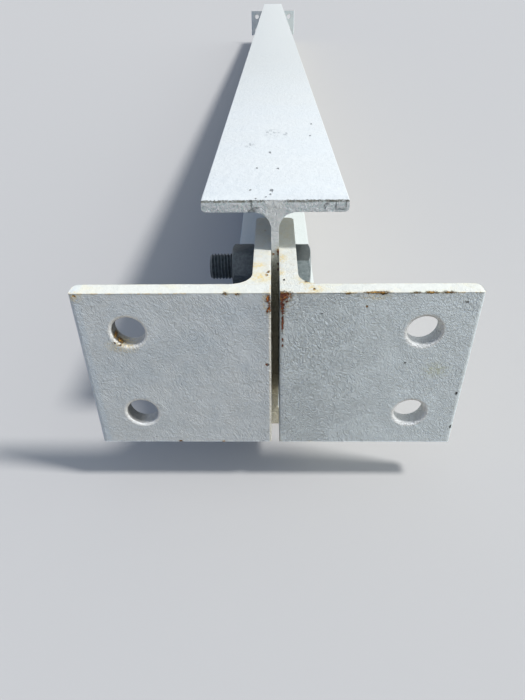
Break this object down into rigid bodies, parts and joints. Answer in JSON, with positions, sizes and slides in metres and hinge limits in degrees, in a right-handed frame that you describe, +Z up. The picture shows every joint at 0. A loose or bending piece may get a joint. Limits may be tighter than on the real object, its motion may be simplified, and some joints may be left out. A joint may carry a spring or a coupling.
{
  "type": "steel i-beam with bolted end cleats",
  "caption": "Rolled steel I-beam with angle cleats bolted to its web at both ends, drilled to bolt to the next member.",
  "frame": {"origin": "centre of the underside of the bottom flange, at the middle of the beam's length", "axes": "+Z up, +Y along the beam towards its far end, +X to the side of the bolt heads"},
  "size_m": [0.2556, 3.5, 0.2],
  "materials": {
    "painted_beam": "white semi-gloss paint over rolled steel",
    "painted_cleat": "white semi-gloss paint with rust at the arrises",
    "bolt_steel": "dull blue-grey bare steel"
  },
  "bodies": {
    "root": {"i_beam": "painted_beam", "cleat_near_left": "painted_cleat", "cleat_near_right": "painted_cleat", "cleat_far_left": "painted_cleat", "cleat_far_right": "painted_cleat", "bolt_near_upper": "bolt_steel", "bolt_near_lower": "bolt_steel", "bolt_far_upper": "bolt_steel", "bolt_far_lower": "bolt_steel", "nut_near_upper": "bolt_steel", "nut_near_lower": "bolt_steel", "nut_far_upper": "bolt_steel", "nut_far_lower": "bolt_steel"}
  },
  "joints": []
}
